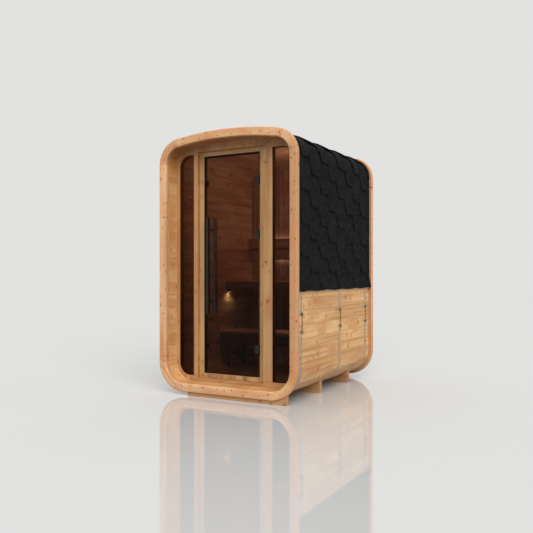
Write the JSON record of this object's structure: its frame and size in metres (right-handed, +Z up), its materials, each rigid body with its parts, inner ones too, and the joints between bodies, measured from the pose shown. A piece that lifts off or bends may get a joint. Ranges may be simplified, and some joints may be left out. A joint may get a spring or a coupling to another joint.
{
  "type": "cube sauna",
  "caption": "Outdoor cube-shaped sauna cabin of wooden staves between two arched rings, with a recessed glazed front, a hinged glass door, benches and a shingled roof.",
  "frame": {"origin": "on the ground below the middle of the cabin", "axes": "+Z up, the glazed front faces -Y, +X to the right as seen from the front"},
  "size_m": [1.35, 1.706, 2.2429],
  "materials": {
    "ring_wood": "planed and oiled softwood",
    "stave_wood": "planed softwood staves",
    "front_wood": "planed softwood",
    "frame_wood": "planed softwood",
    "beam_wood": "sawn softwood",
    "bench_wood": "planed softwood",
    "tinted_glass": "bronze tinted, polished",
    "shingles": "mineral surfaced bitumen",
    "band_steel": "satin",
    "black_metal": "satin black",
    "lamp_lens": "frosted"
  },
  "bodies": {
    "cabin": {"front_ring_top": "ring_wood", "front_ring_bottom": "ring_wood", "front_ring_sides": "ring_wood", "front_ring_corners": "ring_wood", "rear_ring_top": "ring_wood", "rear_ring_bottom": "ring_wood", "rear_ring_sides": "ring_wood", "rear_ring_corners": "ring_wood", "floor": "stave_wood", "left_wall": "stave_wood", "right_wall": "stave_wood", "roof": "stave_wood", "lower_corner_staves": "stave_wood", "upper_corner_staves": "stave_wood", "back_wall": "stave_wood", "front_head": "front_wood", "front_sill": "front_wood", "front_rims": "front_wood", "door_posts": "front_wood", "door_jambs": "frame_wood", "door_head": "frame_wood", "door_threshold": "frame_wood", "side_windows": "tinted_glass", "wall_shingles": "shingles", "corner_shingles": "shingles", "roof_shingles": "shingles", "steel_bands": "band_steel", "band_tensioners": "band_steel", "support_beams": "beam_wood", "upper_bench": "bench_wood", "upper_bench_fascia": "bench_wood", "upper_bench_cleats": "bench_wood", "lower_bench": "bench_wood", "lower_bench_legs": "bench_wood", "backrest": "bench_wood", "bench_lamp": "lamp_lens", "hinge_brackets": "black_metal", "door_catches": "black_metal"},
    "door": {"door_glass": "tinted_glass", "hinge_clamps": "black_metal", "outside_handle": "black_metal", "inside_handle": "black_metal"}
  },
  "joints": [
    {"name": "door_hinge", "type": "hinge", "parent": "cabin", "child": "door", "pos_m": [0.225, -0.669, 0], "axis": [0, 0, 1], "range_deg": [0, 110]}
  ]
}
